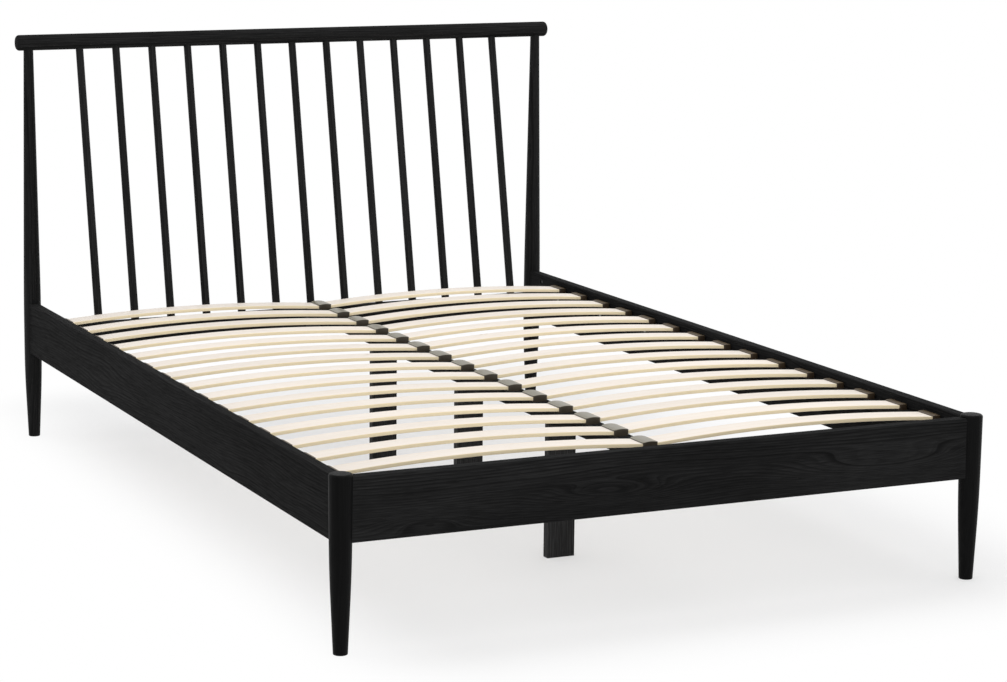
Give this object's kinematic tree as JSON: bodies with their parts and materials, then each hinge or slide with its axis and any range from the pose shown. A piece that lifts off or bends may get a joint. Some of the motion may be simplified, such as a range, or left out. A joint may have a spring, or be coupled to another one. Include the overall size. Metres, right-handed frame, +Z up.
{
  "type": "bed frame",
  "caption": "Spindle-back double bed frame with tapered turned legs, plank rails, a slim round top rail and bowed slats held between side rails and a centre beam.",
  "frame": {"origin": "on the floor, at the middle of the bed's footprint", "axes": "+Z up, +Y from the foot of the bed towards the headboard, +X to the right as seen from the foot; the bed is the same on its left and right sides"},
  "size_m": [1.463, 2.0997, 1.0165],
  "materials": {
    "black_wood": "satin black stain, open grain",
    "slat_wood": "pale laminated wood, lightly sanded",
    "centre_cap_plastic": "fine satin",
    "side_cap_plastic": "fine satin",
    "plate_steel": "black satin",
    "bolt_steel": "dark plated"
  },
  "bodies": {
    "root": {"barrel_nuts": "bolt_steel", "beam_plate_foot": "plate_steel", "beam_plate_head": "plate_steel", "centre_beam": "black_wood", "centre_caps": "centre_cap_plastic", "centre_leg_foot": "black_wood", "centre_leg_head": "black_wood", "centre_leg_middle": "black_wood", "corner_plate_left": "plate_steel", "corner_plate_right": "plate_steel", "foot_rail": "black_wood", "front_leg_left": "black_wood", "front_leg_right": "black_wood", "headboard_post_left": "black_wood", "headboard_post_right": "black_wood", "leg_bolt_left": "bolt_steel", "leg_bolt_right": "bolt_steel", "lower_headboard_rail": "black_wood", "post_bolts": "bolt_steel", "rail_plate_left": "plate_steel", "rail_plate_right": "plate_steel", "side_caps_left": "side_cap_plastic", "side_caps_right": "side_cap_plastic", "side_rail_left": "black_wood", "side_rail_right": "black_wood", "slat_bearer_left": "black_wood", "slat_bearer_right": "black_wood", "slat_pair_01": "slat_wood", "slat_pair_02": "slat_wood", "slat_pair_03": "slat_wood", "slat_pair_04": "slat_wood", "slat_pair_05": "slat_wood", "slat_pair_06": "slat_wood", "slat_pair_07": "slat_wood", "slat_pair_08": "slat_wood", "slat_pair_09": "slat_wood", "slat_pair_10": "slat_wood", "slat_pair_11": "slat_wood", "slat_pair_12": "slat_wood", "slat_pair_13": "slat_wood", "slat_pair_14": "slat_wood", "slat_pair_15": "slat_wood", "spindle_01": "black_wood", "spindle_02": "black_wood", "spindle_03": "black_wood", "spindle_04": "black_wood", "spindle_05": "black_wood", "spindle_06": "black_wood", "spindle_07": "black_wood", "spindle_08": "black_wood", "spindle_09": "black_wood", "spindle_10": "black_wood", "spindle_11": "black_wood", "spindle_12": "black_wood", "spindle_13": "black_wood", "top_rail": "black_wood"}
  },
  "joints": []
}
